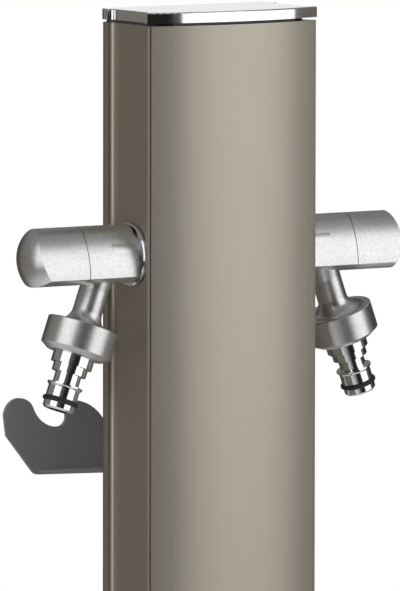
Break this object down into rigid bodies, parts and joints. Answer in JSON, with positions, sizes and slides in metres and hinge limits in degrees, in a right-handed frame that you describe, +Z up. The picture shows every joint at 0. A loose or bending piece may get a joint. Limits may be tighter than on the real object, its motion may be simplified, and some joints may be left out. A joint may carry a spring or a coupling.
{
  "type": "garden standpipe",
  "caption": "Free-standing garden water post: fluted column with a chrome cap, a side tap with an angled hose nipple on each side, and a hose holder behind",
  "frame": {"origin": "middle of the anchor bolt pattern, on the underside of the base plate, under the middle of the tap axis", "axes": "+Z is up along the column, +X points along the right tap's axis, and -Y is the side of the convex front cover"},
  "size_m": [0.2216, 0.15, 1],
  "materials": {
    "column": "satin champagne anodised, fine vertical grain",
    "polished_chrome": "polished chrome plate",
    "satin_chrome": "satin pearl chrome plate",
    "holder": "matte dark grey coating",
    "base": "plain stainless",
    "carrier": "light grey moulding",
    "clip": "black moulding",
    "pipe": "drawn stainless tube",
    "screws": "stainless",
    "brass": "machined brass",
    "ceramic": "lapped white ceramic",
    "rubber": "black rubber"
  },
  "bodies": {
    "standpipe": {"base_plate": "base", "base_screws": "screws", "column_profile": "column", "front_cover": "column", "cap_carrier": "carrier", "cap_screws": "screws", "cap_plate": "polished_chrome", "inlet_fitting": "brass", "inlet_screws": "screws", "riser_pipe": "pipe", "pipe_nuts": "brass", "pipe_clips": "clip", "clip_screws": "screws", "manifold": "brass", "hose_holder": "holder", "holder_screws": "screws", "holder_rivet_nuts": "screws", "left_tap_body": "satin_chrome", "left_rosette": "polished_chrome", "left_rosette_gasket": "rubber", "left_wall_washer": "screws", "left_lock_nut": "brass", "left_seat_seal": "rubber", "left_cartridge": "brass", "left_fixed_disc": "ceramic", "left_union_collar": "satin_chrome", "left_union_washer": "rubber", "left_hose_nipple": "polished_chrome", "left_nipple_o_ring": "rubber", "right_tap_body": "satin_chrome", "right_rosette": "polished_chrome", "right_rosette_gasket": "rubber", "right_wall_washer": "screws", "right_lock_nut": "brass", "right_seat_seal": "rubber", "right_cartridge": "brass", "right_fixed_disc": "ceramic", "right_union_collar": "satin_chrome", "right_union_washer": "rubber", "right_hose_nipple": "polished_chrome", "right_nipple_o_ring": "rubber"},
    "left_handle_set": {"left_handle": "satin_chrome", "left_handle_grub_screw": "screws", "left_spindle": "brass", "left_moving_disc": "ceramic", "left_spindle_seal": "rubber"},
    "right_handle_set": {"right_handle": "satin_chrome", "right_handle_grub_screw": "screws", "right_spindle": "brass", "right_moving_disc": "ceramic", "right_spindle_seal": "rubber"}
  },
  "joints": [
    {"name": "left_handle_turn", "type": "hinge", "parent": "standpipe", "child": "left_handle_set", "pos_m": [-0.0797, 0, 0.8784], "axis": [-1, 0, 0], "range_deg": [0, 90]},
    {"name": "right_handle_turn", "type": "hinge", "parent": "standpipe", "child": "right_handle_set", "pos_m": [0.0797, 0, 0.8784], "axis": [1, 0, 0], "range_deg": [0, 90]}
  ]
}
